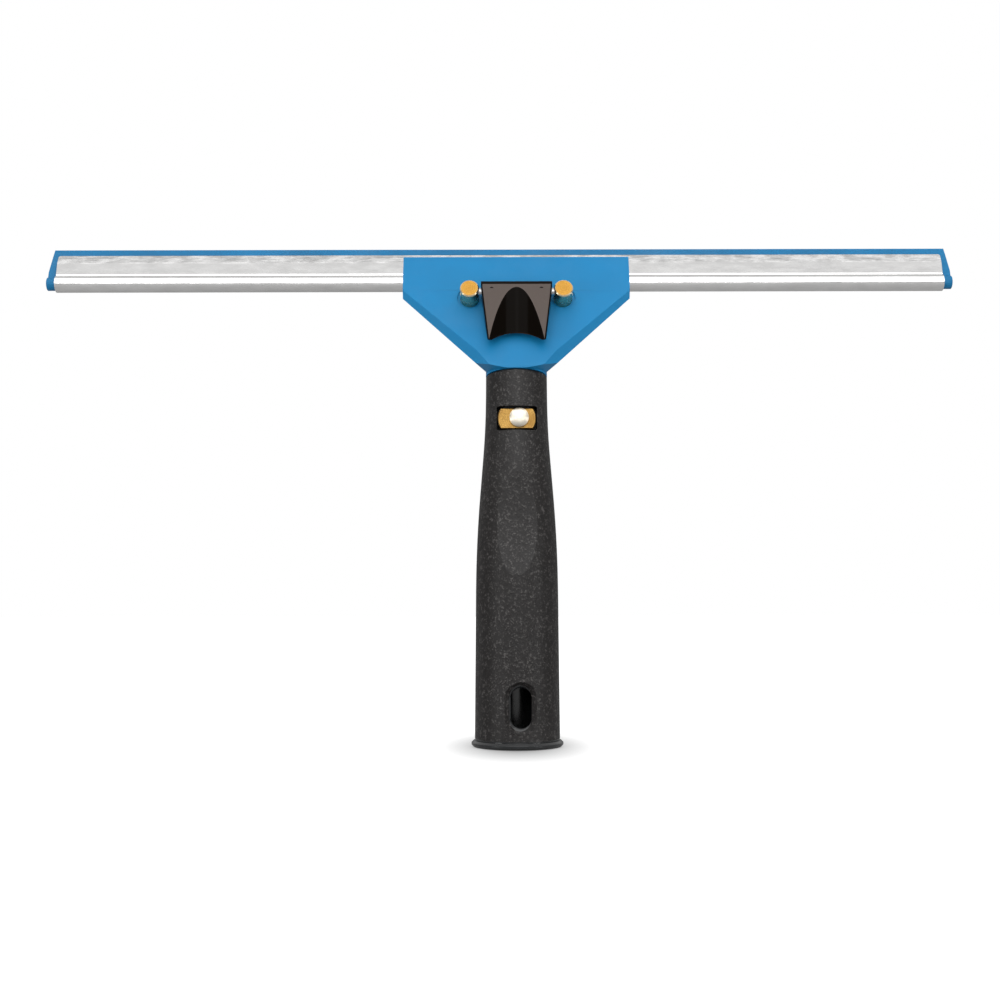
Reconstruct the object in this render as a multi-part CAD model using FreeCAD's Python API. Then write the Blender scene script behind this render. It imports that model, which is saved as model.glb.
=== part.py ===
import FreeCAD, Part
import math
import os

from FreeCAD import Vector

# Window-cleaning squeegee.  Millimetres, +Z up along the handle, +X along the blade and
# the working front towards -Y.  The origin is the middle of the handle's open lower end.
os.makedirs("parts", exist_ok=True)

# ---- overall ----
CHANNEL_LENGTH = 355.6        # a 14 inch blade
RUBBER_OVERHANG = 3.5         # rubber past each end of the channel
RUBBER_SLANT = 1.4            # how far each end is cut back at the tip
RUBBER_SLANT_V = 5.0          # where that cut begins
CHANNEL_SHIFT = -6.7          # how far the channel has been slid in its clamp
HEAD_TILT = 18.0              # the head leans back from the handle's axis, degrees
BEAD_Y = 4.3                  # the channel bead's axis
BEAD_Z = 183.6

# ---- clearances ----
CLAMP_GAP = 0.20              # channel to clamp
SPLIT_GAP = 0.15              # head and jaw faces either side of the parting plane
RUBBER_GAP = 0.15             # rubber to channel
RUNNING_GAP = 0.08            # shafts in their holes
CATCH_GAP = 0.20              # catch in its window
LEVER_GAP = 0.30              # lever's underside over the head
CAM_GAP = 0.15                # cam over the head

# ---- channel ----
SHEET = 0.6
BEAD_R = 3.4
WALL_LOW_V = 3.3              # foot of the straight wall
WALL_LOW_W = 2.20
RIDGE_V = 8.3                 # where the wall starts to lean in
RIDGE_W = 2.50
LIP_V = 12.2                  # top of the lip
CREASE_DEPTH = 0.22           # the folded crease between wall and bead
CHANNEL_CORNER = 1.2          # rounded ends of the lips

# ---- rubber ----
WEB_HALF = 1.0
TIP_V = 15.3
TIP_HALF = 0.85

# ---- head ----
HEAD_HALF_WIDTH = 45.0
HEAD_TOP_V = 8.7
CORNER_V = -9.2               # where the straight sides turn into the diagonals
FRONT_W = 5.7                 # front face
BACK_W = 5.7                  # back face, measured the other way
BAND_LOW_V = -6.3             # slightly raised band over the bead
BAND_HIGH_V = 3.8
BAND_RISE = 0.3
BAND_SLOPE = 0.7
BEND_Y = -12.35               # where the front turns down into the neck
BEND_Z = 150.8
NECK_R = 12.1
NECK_CORNER_Z = 146.1         # where the diagonals reach the neck
NECK_FLARE = 2.60             # how fast the round neck opens into the head
DIAGONAL_END_V = -41.0        # where the diagonals would meet the neck's width
EDGE_CORNER_W = 3.65          # the diagonals' widest edge, at the corner and at the neck
EDGE_NECK_W = 2.3
FACET_SLOPE = 1.0             # the facet in front of that edge
SHOULDER_SLOPE = 2.75         # the back draws in from it
BEND_ROUND = 3.0              # the bend is eased this far either way
JAW_HEEL_V = -18.4            # lower end of the rear jaw
JAW_INSET = 0.4
JAW_EDGE = 1.0                # chamfers along its back
BACK_FOOT_V = -30.4           # where the back slopes out to the neck
NECK_STRAIGHT = 0.4           # the neck stays round this far above the diagonals' end
JAW_TRAVEL = 1.2
SPIGOT_R = 9.3
SPIGOT_BORE_R = 6.8
SPIGOT_LOW_Z = 107.0
SPIGOT_BORE_TOP = 139.0

# ---- clamp posts ----
POST_R = 3.7
POST_X = 18.4
POST_V = -10.0
POST_PROUD = 7.7
POST_RING_WIDTH = 1.3
POST_RING_DEPTH = 0.8
STEM_R = 2.5
WASHER_R = 4.6
WASHER_T = 0.8
NUT_ACROSS_FLATS = 8.0
NUT_T = 3.0
STEM_END = 0.9                # stem past the nut
SPRING_WIRE = 0.45
SPRING_POCKET = 3.0           # depth of the spring's pocket in the head

# ---- release lever ----
PIVOT_HEIGHT = 4.8            # hinge pin over the head's front face
PIN_R = 1.5
LEVER_TOP_WIDTH = 27.8
LEVER_END_WIDTH = 22.6
LEVER_LENGTH = 21.5           # pivot to the free end
LEVER_END_HEIGHT = 5.9        # face over the head at the free end
LEVER_BARREL_R = 4.4          # outer side of the barrel
LEVER_SWING = 85.0            # degrees, closed to open
SCOOP_R = 16.5
SCOOP_FLOOR = 1.5             # left under the scoop at the free end
LEVER_ROUND = 0.6
LEVER_TIP = 0.8               # flat at the free end, over the finger hold's slope
HOLD_SLOPE = 2.0              # how far the end draws back under, for each unit of depth
CROWN_V = 0.9                 # where the barrel's back rounds over into the face
SHOULDER_ANGLE = 42.0         # the barrel's fullest point
SHOULDER_FULL = 0.25
HEEL_V = -2.0
SCOOP_APEX_V = 0.2
DIMPLE_R = 0.9
DIMPLE_DEPTH = 0.25
DIMPLE_INSET = 4.2

# ---- handle ----
RIM_Z = 144.8                 # rim height on the axis; the rim leans with half the head's tilt
RIM_ROUND = 0.9
NECK_GRIP_R = 12.0
FLANGE_R = 17.9
FLANGE_T = 2.4
GROOVE_T = 0.7
GROOVE_R = 16.0
SHELL_R = 16.6                # grip radius just over the groove
BELLY_R = 15.95               # corner where the belly starts to fall in
BELLY_Z = 79.0
BELLY_TANGENT = 19.0          # length of the rounding either side of that corner
THROAT_R = 12.2               # corner where the taper settles into the neck
THROAT_Z = 125.0
THROAT_TANGENT = 11.0
SOCKET_R = 12.6
SOCKET_DEPTH = 38.0
SOCKET_END_R = 9.4
CORE_WALL = 1.6
CORE_TOP_Z = 101.0
SCOOP_LOW_Z = 66.5            # thumb scoop on the grip
SCOOP_HIGH_Z = 107.0
THUMB_LOW_R = 15.95            # how far out the thumb scoop ends, below and above
THUMB_HIGH_R = 13.7
THUMB_DEPTH = 1.7
SLOT_LOW_Z = 7.9              # pole latch slot
SLOT_HIGH_Z = 23.3
SLOT_HALF_WIDTH = 4.0
SLOT_X = 1.3                  # the slot sits a little off the handle's middle
SLOT_RECESS = 2.3             # the recess round the slot, on every side
SLOT_RECESS_Y = -15.2         # foot of the recess's straight wall
SLOT_SEAT = 0.9               # how far the sloping floor runs into the liner

# ---- head catch ----
CATCH_Z = 127.2
WINDOW_HALF_WIDTH = 7.85
WINDOW_HALF_HEIGHT = 4.75
PAD_R = 7.45
PAD_HALF_HEIGHT = 4.1
PAD_T = 2.4
PAD_FACE_Y = -9.8
BUTTON_R = 3.75
BUTTON_RISE = 1.9
BUTTON_DOME = 1.0             # the domed part of that rise
BUTTON_X = 0.9
BUTTON_RAISE = 0.4
SCREW_R = 1.3
PLUNGER_HALF_WIDTH = 4.2
PLUNGER_HALF_HEIGHT = 5.6
PLUNGER_T = 4.2
CATCH_TRAVEL = 4.4
CATCH_SPRING_R = 2.6
CATCH_WIRE = 0.5

# ---- spring wire facets ----
COIL_STEPS = 16
COIL_SIDES = 6

# ---- the head's own frame: local X is X, local Y runs up the head, local Z out of its front ----
TILT = math.radians(HEAD_TILT)
HEAD_PLACE = FreeCAD.Placement(Vector(0, BEAD_Y, BEAD_Z), FreeCAD.Rotation(Vector(1, 0, 0), 90 - HEAD_TILT))
FAR = 400.0


def on_head(shape):
    """Put a shape drawn in the head's frame where the head is."""
    return shape.transformed(HEAD_PLACE.toMatrix(), True)


def to_head(y, z):
    """A point of the middle plane, in the head's frame."""
    rise = z - BEAD_Z
    run = y - BEAD_Y
    return run * math.sin(TILT) + rise * math.cos(TILT), rise * math.sin(TILT) - run * math.cos(TILT)


def prism_x(points, low, high):
    """Extrude an outline of (v, w) points along X."""
    wire = Part.makePolygon([Vector(low, v, w) for v, w in points + points[:1]])
    return Part.Face(wire).extrude(Vector(high - low, 0, 0))


def prism_w(points, low, high):
    """Extrude an outline of (x, v) points out of the head."""
    wire = Part.makePolygon([Vector(x, v, low) for x, v in points + points[:1]])
    return Part.Face(wire).extrude(Vector(0, 0, high - low))


def rod_w(x, v, radius, low, high):
    """A round bar along the head's outward axis."""
    return Part.makeCylinder(radius, high - low, Vector(x, v, low), Vector(0, 0, 1))


def rod_x(v, w, radius, half_length):
    return Part.makeCylinder(radius, 2 * half_length, Vector(-half_length, v, w), Vector(1, 0, 0))


def block(low, high):
    size = [high[i] - low[i] for i in range(3)]
    return Part.makeBox(size[0], size[1], size[2], Vector(*low))


def turned(points):
    """Turn an (r, z) outline about Z."""
    wire = Part.makePolygon([Vector(r, 0, z) for r, z in points + points[:1]])
    return Part.Face(wire).revolve(Vector(0, 0, 0), Vector(0, 0, 1), 360)


def edges_where(shape, test):
    return [edge for edge in shape.Edges if test(edge)]


def coil(radius, wire_r, length, turns, place):
    """A faceted wire coil standing on its own XY plane; flat facets keep its mesh small."""
    steps = turns * COIL_STEPS
    rise = (length - 2 * wire_r) / steps

    def ring(step):
        turn = 2 * math.pi * step / COIL_STEPS
        points = []
        for i in range(COIL_SIDES):
            angle = 2 * math.pi * i / COIL_SIDES
            reach = radius + wire_r * math.cos(angle)
            height = wire_r + rise * step + wire_r * math.sin(angle)
            points.append(Vector(reach * math.cos(turn), reach * math.sin(turn), height))
        return points

    def facet(*corners):
        return Part.Face(Part.makePolygon(list(corners) + [corners[0]]))

    rings = [ring(step) for step in range(steps + 1)]
    facets = [facet(*rings[0]), facet(*rings[-1])]
    for low, high in zip(rings, rings[1:]):
        for i in range(COIL_SIDES):
            j = (i + 1) % COIL_SIDES
            facets.append(facet(low[i], low[j], high[j]))
            facets.append(facet(low[i], high[j], high[i]))
    solid = Part.Solid(Part.Shell(facets))
    if solid.Volume < 0:
        solid.reverse()
    return solid.transformed(place.toMatrix(), True)


def mirrored_name(name, side):
    return name + ("_left" if side < 0 else "_right")


# ---- channel and rubber ----
def channel_face(grow, x):
    """The channel's outer outline, closed across the lips, grown by a clearance."""
    bead = BEAD_R + grow
    wall = WALL_LOW_W + grow
    meet_v = math.sqrt(bead ** 2 - wall ** 2)
    top = LIP_V + grow
    side = [(meet_v, wall), (WALL_LOW_V, wall), (RIDGE_V, RIDGE_W + grow), (top, RIDGE_W - 0.6 + grow), (top, 0)]
    right = [Vector(x, v, w) for v, w in side]
    left = [Vector(x, v, -w) for v, w in side[:-1]][::-1]
    lines = Part.makePolygon(right + left)
    arc = Part.Arc(left[-1], Vector(x, -bead, 0), right[0]).toShape()
    return Part.Face(Part.Wire(lines.Edges + [arc]))


def make_channel():
    """Folded sheet: a rolled bead, two walls and two lips that lean in on the rubber."""
    low_x = CHANNEL_SHIFT - CHANNEL_LENGTH / 2
    bead_turn = math.radians(50)
    lip_r = SHEET / 2
    lip_w = WEB_HALF + RUBBER_GAP + lip_r

    def half(sign):
        def at(v, w):
            return Vector(low_x, v, sign * w)
        crease_v = WALL_LOW_V - 0.55
        outer_end = at(BEAD_R * math.sin(bead_turn), BEAD_R * math.cos(bead_turn))
        inner_r = BEAD_R - SHEET
        wall_in = WALL_LOW_W - SHEET
        inner_meet = at(math.sqrt(inner_r ** 2 - wall_in ** 2), wall_in)
        edges = [
            Part.Arc(at(-BEAD_R, 0), at(0, BEAD_R), outer_end).toShape(),
            Part.makeLine(outer_end, at(crease_v, WALL_LOW_W - CREASE_DEPTH)),
            Part.makeLine(at(crease_v, WALL_LOW_W - CREASE_DEPTH), at(WALL_LOW_V, WALL_LOW_W)),
            Part.makeLine(at(WALL_LOW_V, WALL_LOW_W), at(RIDGE_V, RIDGE_W)),
            Part.makeLine(at(RIDGE_V, RIDGE_W), at(LIP_V - lip_r, lip_w + lip_r)),
            Part.Arc(at(LIP_V - lip_r, lip_w + lip_r), at(LIP_V, lip_w), at(LIP_V - lip_r, lip_w - lip_r)).toShape(),
            Part.makeLine(at(LIP_V - lip_r, lip_w - lip_r), at(RIDGE_V, RIDGE_W - SHEET)),
            Part.makeLine(at(RIDGE_V, RIDGE_W - SHEET), at(WALL_LOW_V, wall_in)),
            Part.makeLine(at(WALL_LOW_V, wall_in), inner_meet),
            Part.Arc(inner_meet, at(0, inner_r), at(-inner_r, 0)).toShape(),
        ]
        return edges

    sheet = Part.Wire(Part.__sortEdges__(half(1) + half(-1)))
    bar = Part.Face(sheet).extrude(Vector(CHANNEL_LENGTH, 0, 0))
    corners = []
    for end in (low_x, low_x + CHANNEL_LENGTH):
        inward = 1 if end == low_x else -1
        square = block((min(end, end + inward * CHANNEL_CORNER), LIP_V - CHANNEL_CORNER, -BEAD_R),
                       (max(end, end + inward * CHANNEL_CORNER), LIP_V + 1, BEAD_R))
        round_end = Part.makeCylinder(CHANNEL_CORNER, 2 * BEAD_R,
                                      Vector(end + inward * CHANNEL_CORNER, LIP_V - CHANNEL_CORNER, -BEAD_R))
        corners.append(square.cut(round_end))
    return on_head(bar.cut(corners))


def make_rubber():
    bulb_r = BEAD_R - SHEET - RUBBER_GAP
    meet_v = math.sqrt(bulb_r ** 2 - WEB_HALF ** 2)
    low_x = CHANNEL_SHIFT - CHANNEL_LENGTH / 2 - RUBBER_OVERHANG
    side = [(meet_v, WEB_HALF), (LIP_V, WEB_HALF), (TIP_V, TIP_HALF)]
    right = [Vector(low_x, v, w) for v, w in side]
    left = [Vector(low_x, v, -w) for v, w in side][::-1]
    lines = Part.makePolygon(right + left)
    arc = Part.Arc(left[-1], Vector(low_x, -bulb_r, 0), right[0]).toShape()
    face = Part.Face(Part.Wire(lines.Edges + [arc]))
    length = CHANNEL_LENGTH + 2 * RUBBER_OVERHANG
    slants = []
    for end_x, inward in ((low_x, 1), (low_x + length, -1)):
        over_v = 2 * TIP_V - RUBBER_SLANT_V
        corner = [(end_x, RUBBER_SLANT_V), (end_x + 2 * RUBBER_SLANT * inward, over_v), (end_x, over_v)]
        slants.append(prism_w(corner, -BEAD_R, BEAD_R))
    return on_head(face.extrude(Vector(length, 0, 0)).cut(slants))


# ---- head ----
def head_outline(inset):
    """The trapezoid seen from the front: straight sides, then diagonals down to the neck."""
    half = HEAD_HALF_WIDTH - inset
    neck = NECK_R - inset
    low_v = DIAGONAL_END_V - 4 * NECK_R
    right = [(half, HEAD_TOP_V + 1), (half, CORNER_V), (neck, DIAGONAL_END_V), (neck, low_v)]
    return right + [(-x, v) for x, v in right][::-1]


def diagonal_cutter(side, slope):
    """A wedge that draws the body in behind (positive slope) or in front of one diagonal's edge."""
    top = Vector(HEAD_HALF_WIDTH * side, CORNER_V, EDGE_CORNER_W)
    low = Vector(NECK_R * side, DIAGONAL_END_V, EDGE_NECK_W)
    along = low - top
    length = math.hypot(along.x, along.y)
    inward = Vector(along.y / length * side, -along.x / length * side, 0)
    reach = HEAD_HALF_WIDTH
    drop = Vector(0, 0, -slope * reach)
    corners = [top - inward * reach - drop, top + inward * reach + drop, top - inward * reach + drop]
    face = Part.Face(Part.makePolygon([point - along for point in corners + corners[:1]]))
    return face.extrude(along * 3)


def below_rim():
    """Everything under the leaning plane of the handle's rim."""
    slab = Part.makeBox(FAR, FAR, FAR, Vector(-FAR / 2, -FAR / 2, -FAR))
    lean = FreeCAD.Placement(Vector(0, 0, RIM_Z), FreeCAD.Rotation(Vector(1, 0, 0), -HEAD_TILT / 2))
    return slab.transformed(lean.toMatrix(), True)


def make_head_body():
    """Front half of the clamp, its thick lower back, the neck and the spigot in the handle."""
    bend = to_head(BEND_Y, BEND_Z)
    bend_high = (bend[0] + BEND_ROUND, FRONT_W)
    bend_low = to_head(BEND_Y, BEND_Z - BEND_ROUND)
    neck_low_z = RIM_Z - NECK_R
    front_low = to_head(BEND_Y, neck_low_z)
    back_low = to_head(-BEND_Y, neck_low_z)
    back_high = to_head(-BEND_Y, NECK_CORNER_Z + 1.0)
    raised = FRONT_W + BAND_RISE
    side = [
        (HEAD_TOP_V, SPLIT_GAP), (HEAD_TOP_V, FRONT_W),
        (BAND_HIGH_V + BAND_SLOPE, FRONT_W), (BAND_HIGH_V, raised),
        (BAND_LOW_V, raised), (BAND_LOW_V - BAND_SLOPE, FRONT_W),
        bend_high, bend_low, front_low, back_low, back_high,
        (BACK_FOOT_V, -BACK_W), (JAW_HEEL_V, -BACK_W), (JAW_HEEL_V, SPLIT_GAP),
    ]
    plate = prism_x(side, -HEAD_HALF_WIDTH, HEAD_HALF_WIDTH)
    plate = plate.common(prism_w(head_outline(0), -FAR / 2, FAR / 2))
    drawn_in = plate.cut([diagonal_cutter(side_sign, slope) for side_sign in (-1, 1)
                          for slope in (SHOULDER_SLOPE, -FACET_SLOPE)])
    neck = on_head(plate).common(Part.makeCylinder(NECK_R, FAR))
    plate = on_head(drawn_in).fuse(neck)
    flare_top = FAR
    flare = turned([(0, neck_low_z - 5), (NECK_R, neck_low_z - 5), (NECK_R, NECK_CORNER_Z + NECK_STRAIGHT),
                    (NECK_R + NECK_FLARE * (flare_top - NECK_CORNER_Z), flare_top), (0, flare_top)])
    plate = plate.common(flare).cut(below_rim())
    spigot = Part.makeCylinder(SPIGOT_R, RIM_Z - SPIGOT_LOW_Z + 2.0, Vector(0, 0, SPIGOT_LOW_Z))
    body = plate.fuse(spigot)
    cuts = [Part.makeCylinder(SPIGOT_BORE_R, SPIGOT_BORE_TOP - SPIGOT_LOW_Z, Vector(0, 0, SPIGOT_LOW_Z))]
    pocket_half = PAD_R + CATCH_GAP
    pocket_height = PAD_HALF_HEIGHT + CATCH_GAP
    pocket_back = PAD_FACE_Y + PAD_T + CATCH_TRAVEL + CATCH_GAP
    cuts.append(block((-pocket_half, -SPIGOT_R - 1, CATCH_Z - pocket_height),
                      (pocket_half, pocket_back, CATCH_Z + pocket_height)))
    cuts.append(on_head(channel_face(CLAMP_GAP, -FAR / 2).extrude(Vector(FAR, 0, 0))))
    for side_sign in (-1, 1):
        x = side_sign * POST_X
        cuts.append(on_head(rod_w(x, POST_V, POST_R + RUNNING_GAP, -1, FRONT_W + 1)))
        cuts.append(on_head(rod_w(x, POST_V, POST_R + POST_RING_WIDTH, FRONT_W - POST_RING_DEPTH, FRONT_W + 1)))
        cuts.append(on_head(rod_w(x, POST_V, spring_pocket_r(), SPLIT_GAP - 1, SPRING_POCKET + SPLIT_GAP)))
    body = body.cut(cuts)
    return body.removeSplitter()


def spring_pocket_r():
    return POST_R + 3 * SPRING_WIRE


def make_rear_jaw():
    """Back half of the clamp; the two posts draw it against the channel."""
    edge = JAW_EDGE
    side = [(HEAD_TOP_V, -SPLIT_GAP), (JAW_HEEL_V + SPLIT_GAP, -SPLIT_GAP), (JAW_HEEL_V + SPLIT_GAP, edge - BACK_W),
            (JAW_HEEL_V + SPLIT_GAP + edge, -BACK_W), (HEAD_TOP_V - edge, -BACK_W), (HEAD_TOP_V, edge - BACK_W)]
    jaw = prism_x(side, -HEAD_HALF_WIDTH, HEAD_HALF_WIDTH)
    jaw = jaw.common(prism_w(head_outline(JAW_INSET), -FAR / 2, FAR / 2))
    jaw = jaw.cut([diagonal_cutter(side_sign, SHOULDER_SLOPE) for side_sign in (-1, 1)])
    cuts = [channel_face(CLAMP_GAP, -FAR / 2).extrude(Vector(FAR, 0, 0))]
    for side_sign in (-1, 1):
        cuts.append(rod_w(side_sign * POST_X, POST_V, STEM_R, -BACK_W - 1, 1))
    return on_head(jaw.cut(cuts))


# ---- clamp posts and their hardware ----
def washer_back():
    return -BACK_W - WASHER_T


def nut_back():
    return washer_back() - NUT_T


def make_post(x):
    face_w = FRONT_W + POST_PROUD
    edge = 0.4
    boss = rod_w(x, POST_V, POST_R, -SPLIT_GAP, face_w)
    rim = edges_where(boss, lambda e: e.BoundBox.ZMin > face_w - 0.01)
    boss = boss.makeChamfer(edge, rim)
    stem = rod_w(x, POST_V, STEM_R, nut_back() - STEM_END, 0)
    tip = edges_where(stem, lambda e: e.BoundBox.ZMax < nut_back())
    stem = stem.makeChamfer(edge, tip)
    pin_hole = rod_x(POST_V, FRONT_W + PIVOT_HEIGHT, PIN_R, POST_X + 2 * POST_R)
    return on_head(boss.fuse(stem).cut(pin_hole).removeSplitter())


def make_washer(x):
    ring = rod_w(x, POST_V, WASHER_R, washer_back(), -BACK_W)
    return on_head(ring.cut(rod_w(x, POST_V, STEM_R, washer_back() - 1, 1)))


def make_nut(x):
    corner = NUT_ACROSS_FLATS / math.sqrt(3)
    flats = []
    for i in range(6):
        angle = math.radians(60 * i + 30)
        flats.append((x + corner * math.cos(angle), POST_V + corner * math.sin(angle)))
    nut = prism_w(flats, nut_back(), washer_back())
    height = corner + NUT_T
    dome = Part.makeCone(corner - 0.5, corner - 0.5 + height * 2, height, Vector(x, POST_V, nut_back()),
                         Vector(0, 0, 1))
    nut = nut.common(dome)
    return on_head(nut.cut(rod_w(x, POST_V, STEM_R, nut_back() - 1, washer_back() + 1)))


def make_lever_pin():
    edge = 0.3
    half = POST_X + POST_R - 0.5
    pin = rod_x(POST_V, FRONT_W + PIVOT_HEIGHT, PIN_R, half)
    return on_head(pin.makeChamfer(edge, edges_where(pin, lambda e: e.BoundBox.XLength < 0.01)))


def make_jaw_spring(x):
    place = FreeCAD.Placement(Vector(x, POST_V, -SPLIT_GAP), FreeCAD.Rotation())
    length = SPRING_POCKET + 2 * SPLIT_GAP
    return on_head(coil(POST_R + 1.5 * SPRING_WIRE, SPRING_WIRE / 2, length, 4, place))


# ---- release lever ----
def make_lever():
    """A flat lever with a cam at its hinge and a thumb scoop down to its free end."""
    cam_r = PIVOT_HEIGHT - CAM_GAP
    swing = math.radians(LEVER_SWING)
    steps = 8
    cam = []
    for i in range(steps + 1):
        turn = swing * i / steps
        radius = cam_r - JAW_TRAVEL * i / steps
        cam.append(Vector(0, radius * math.sin(turn), -radius * math.cos(turn)))
    curve = Part.BSplineCurve()
    curve.interpolate(cam)
    under = LEVER_GAP - PIVOT_HEIGHT
    end_top = LEVER_END_HEIGHT - PIVOT_HEIGHT
    crown = Vector(0, CROWN_V, LEVER_BARREL_R)
    shoulder_r = (cam_r - JAW_TRAVEL + LEVER_BARREL_R) / 2 + SHOULDER_FULL
    lean = math.radians(SHOULDER_ANGLE)
    shoulder = Vector(0, shoulder_r * math.cos(lean), shoulder_r * math.sin(lean))
    tip = Vector(0, -LEVER_LENGTH, end_top)
    tip_low = Vector(0, -LEVER_LENGTH, end_top - LEVER_TIP)
    undercut = Vector(0, -LEVER_LENGTH + HOLD_SLOPE * (tip_low.z - under), under)
    heel = Vector(0, HEEL_V, under)
    edges = [
        curve.toShape(),
        Part.Arc(cam[-1], shoulder, crown).toShape(),
        Part.makeLine(crown, tip),
        Part.makeLine(tip, tip_low),
        Part.makeLine(tip_low, undercut),
        Part.makeLine(undercut, heel),
        Part.makeLine(heel, cam[0]),
    ]
    side = Part.Face(Part.Wire(edges))
    half_top = LEVER_TOP_WIDTH / 2
    half_end = LEVER_END_WIDTH / 2
    side.translate(Vector(-half_top, 0, 0))
    bar = side.extrude(Vector(LEVER_TOP_WIDTH, 0, 0))
    widen = (half_top - half_end) / LEVER_LENGTH
    top_v = 2 * LEVER_BARREL_R
    outline = [(half_top, top_v), (half_top, 0), (half_end - widen * 5, -LEVER_LENGTH - 5)]
    outline = outline + [(-x, v) for x, v in outline][::-1]
    bar = bar.common(prism_w(outline, -20, 20))
    upper = edges_where(bar, lambda e: e.BoundBox.ZMax > end_top - 0.5 and abs(e.BoundBox.XMin) > half_end - 1
                        and e.BoundBox.XLength < LEVER_TOP_WIDTH / 2 and e.BoundBox.ZMin > end_top - 0.9)
    bar = bar.makeFillet(LEVER_ROUND, upper)
    floor_end = under + SCOOP_FLOOR
    fall = math.atan2(LEVER_BARREL_R - floor_end, LEVER_LENGTH)
    down = Vector(0, -math.cos(fall), -math.sin(fall))
    out = Vector(0, -math.sin(fall), math.cos(fall))
    apex = Vector(0, SCOOP_APEX_V, LEVER_BARREL_R)
    scoop = Part.makeCylinder(SCOOP_R, 3 * LEVER_LENGTH, apex + out * SCOOP_R - down * LEVER_LENGTH, down)
    cuts = [scoop, rod_x(0, 0, PIN_R + RUNNING_GAP, LEVER_TOP_WIDTH)]
    for sign in (-1, 1):
        seat = Vector(sign * (half_top - DIMPLE_INSET), -1.2, LEVER_BARREL_R - DIMPLE_DEPTH)
        cuts.append(Part.makeCylinder(DIMPLE_R, 3, seat, Vector(0, 0, 1)))
    bar = bar.cut(cuts)
    bar.translate(Vector(0, POST_V, FRONT_W + PIVOT_HEIGHT))
    return on_head(bar)


# ---- handle ----
def rounded(before, corner, after, tangent):
    """The tangent arc that rounds one corner of an (r, z) outline."""
    back = (Vector(*before) - Vector(*corner)).normalize()
    ahead = (Vector(*after) - Vector(*corner)).normalize()
    start = Vector(*corner) + back * tangent
    end = Vector(*corner) + ahead * tangent
    half_turn = (math.pi - back.getAngle(ahead)) / 2
    radius = tangent / math.tan(half_turn)
    chord_middle = (start + end) * 0.5
    outward = (Vector(*corner) - chord_middle).normalize()
    return start, chord_middle + outward * radius * (1 - math.cos(half_turn)), end


def grip_profile():
    """The grip's outer edge: a belly that falls in to the neck, with both bends rounded."""
    low = (SHELL_R, 0, FLANGE_T + GROOVE_T)
    belly = (BELLY_R, 0, BELLY_Z)
    throat = (THROAT_R, 0, THROAT_Z)
    top = (NECK_GRIP_R, 0, RIM_Z + NECK_R)
    belly_arc = rounded(low, belly, throat, BELLY_TANGENT)
    throat_arc = rounded(belly, throat, top, THROAT_TANGENT)
    edges = [
        Part.makeLine(Vector(*low), belly_arc[0]),
        Part.Arc(*belly_arc).toShape(),
        Part.makeLine(belly_arc[2], throat_arc[0]),
        Part.Arc(*throat_arc).toShape(),
        Part.makeLine(throat_arc[2], Vector(*top)),
    ]
    return edges, (low[0], low[2]), (top[0], top[2])


def core_radius(z):
    """Outer radius of the core: a straight socket, then a taper to the neck."""
    if z <= SOCKET_DEPTH:
        return SOCKET_R + CORE_WALL
    share = (z - SOCKET_DEPTH) / (CORE_TOP_Z - SOCKET_DEPTH)
    return SOCKET_R + CORE_WALL + (SOCKET_END_R - SOCKET_R) * share


def slot_cutter():
    """The latch slot, and the recess round its mouth with a sloping floor."""
    middle_z = (SLOT_LOW_Z + SLOT_HIGH_Z) / 2
    half_z = (SLOT_HIGH_Z - SLOT_LOW_Z) / 2
    seat_y = -(SOCKET_R + CORE_WALL) + SLOT_SEAT

    def outline(y, grow):
        r = SLOT_HALF_WIDTH + grow
        run = half_z - SLOT_HALF_WIDTH
        right_low = Vector(SLOT_X + r, y, middle_z - run)
        right_high = Vector(SLOT_X + r, y, middle_z + run)
        left_high = Vector(SLOT_X - r, y, middle_z + run)
        left_low = Vector(SLOT_X - r, y, middle_z - run)
        return Part.Wire([
            Part.makeLine(right_low, right_high),
            Part.Arc(right_high, Vector(SLOT_X, y, middle_z + run + r), left_high).toShape(),
            Part.makeLine(left_high, left_low),
            Part.Arc(left_low, Vector(SLOT_X, y, middle_z - run - r), right_low).toShape(),
        ])

    floor = Part.makeLoft([outline(seat_y, 0), outline(SLOT_RECESS_Y, SLOT_RECESS)], True, True)
    wall = Part.Face(outline(SLOT_RECESS_Y, SLOT_RECESS)).extrude(Vector(0, -FLANGE_R, 0))
    straight = Part.Face(outline(0, 0)).extrude(Vector(0, -FLANGE_R - 2, 0))
    return straight, floor.fuse(wall)


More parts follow.
